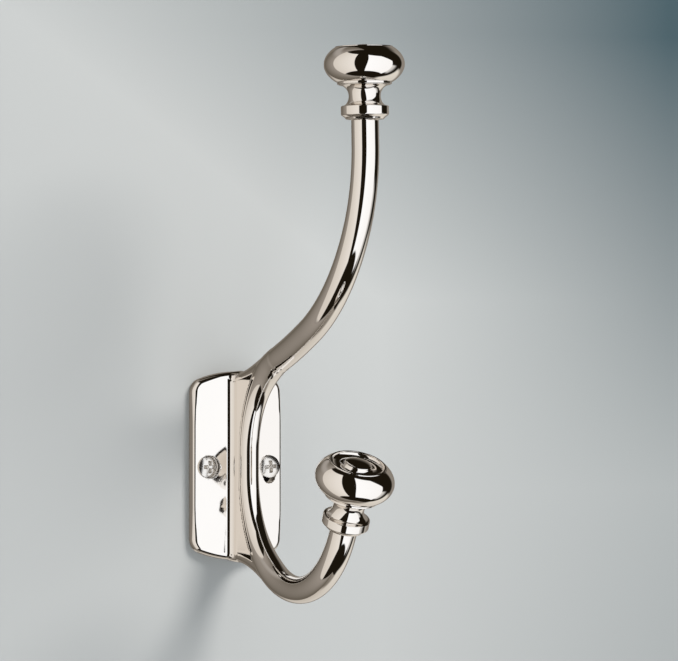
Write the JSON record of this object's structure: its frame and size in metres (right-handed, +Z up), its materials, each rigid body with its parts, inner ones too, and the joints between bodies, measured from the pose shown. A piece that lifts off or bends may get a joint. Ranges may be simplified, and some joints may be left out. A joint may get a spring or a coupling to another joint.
{
  "type": "wall hook",
  "caption": "Double wall hook: arched back plate, long upper arm and upturned lower arm, each ending in a turned collar and knob.",
  "frame": {"origin": "centre of the back plate's flat back face, on the wall", "axes": "+Z up; -Y straight out of the wall, the way the arms reach; +X to the right of someone facing the hook"},
  "size_m": [0.0354, 0.1484, 0.1974],
  "materials": {
    "polished_nickel": "mirror-polished nickel plate over cast brass",
    "nickel_screw": "nickel-plated steel, bright",
    "zinc_steel": "zinc-plated steel",
    "nylon": "moulded nylon, light grey"
  },
  "bodies": {
    "root": {"hook_body": "polished_nickel", "upper_collar": "polished_nickel", "upper_knob": "polished_nickel", "upper_stud": "zinc_steel", "lower_collar": "polished_nickel", "lower_knob": "polished_nickel", "lower_stud": "zinc_steel", "screw_left": "nickel_screw", "screw_right": "nickel_screw", "wall_plug_left": "nylon", "wall_plug_right": "nylon"}
  },
  "joints": []
}
